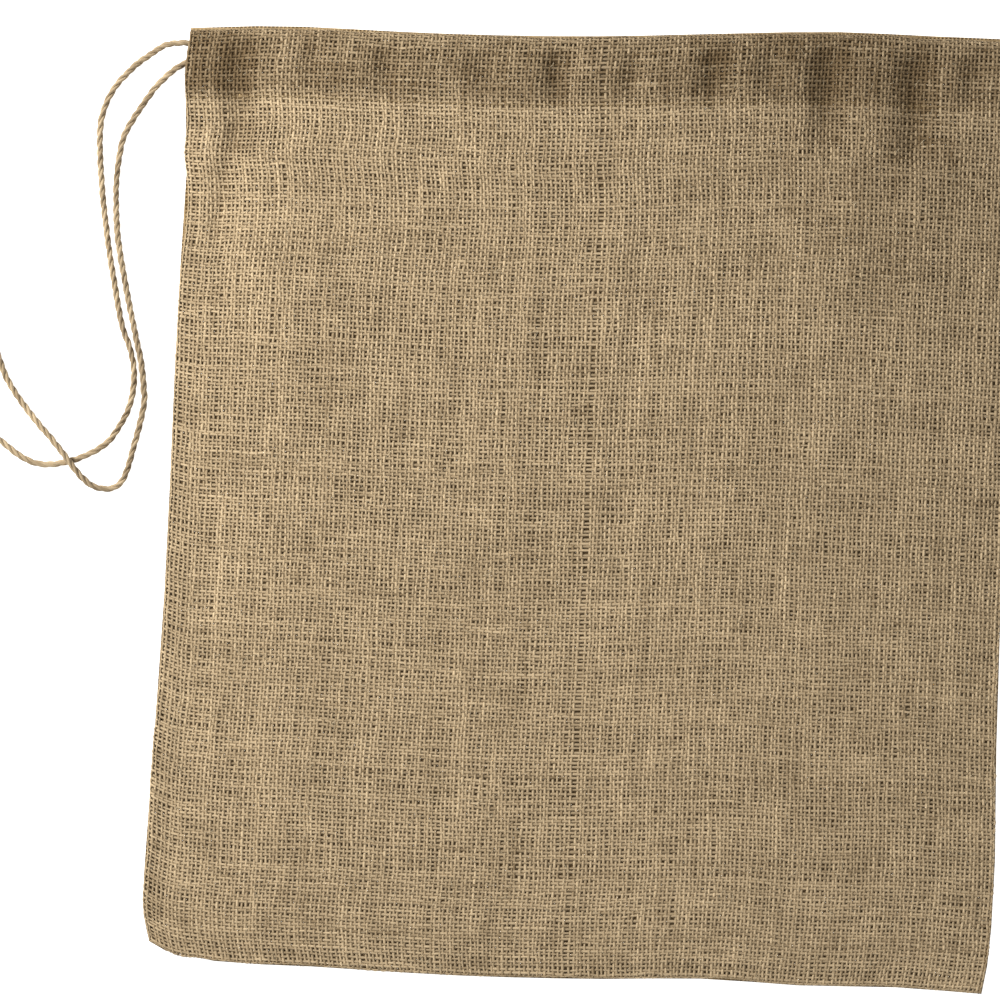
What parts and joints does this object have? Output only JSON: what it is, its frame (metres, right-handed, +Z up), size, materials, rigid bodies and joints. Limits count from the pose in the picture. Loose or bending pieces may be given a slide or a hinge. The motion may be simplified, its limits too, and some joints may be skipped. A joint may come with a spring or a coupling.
{
  "type": "drawstring jute sack",
  "caption": "flat-lying hessian drawstring sack: two sewn panels, a folded hem at the mouth and a jute cord whose knotted ends lie loose at one side",
  "frame": {"origin": "middle of the sack's outline in plan, on the surface it lies on, measured without the loose cord", "axes": "+X to the right across the sack, +Y towards its mouth, +Z up off the surface; right-handed"},
  "size_m": [0.5578, 0.4647, 0.0168],
  "materials": {
    "hessian_front": "plain-woven natural jute hessian, matt, straw brown with dark gaps between the threads",
    "hessian_back": "the same plain-woven jute hessian, matt, a little darker",
    "drawstring": "twisted jute cord, matt with a faint straw sheen and loose fibres"
  },
  "bodies": {
    "root": {"front_panel": "hessian_front", "back_panel": "hessian_back", "drawstring_in_hem": "drawstring", "drawstring_front_strand": "drawstring", "drawstring_back_strand": "drawstring", "drawstring_knot": "drawstring", "drawstring_front_tail": "drawstring", "drawstring_back_tail": "drawstring"}
  },
  "joints": []
}
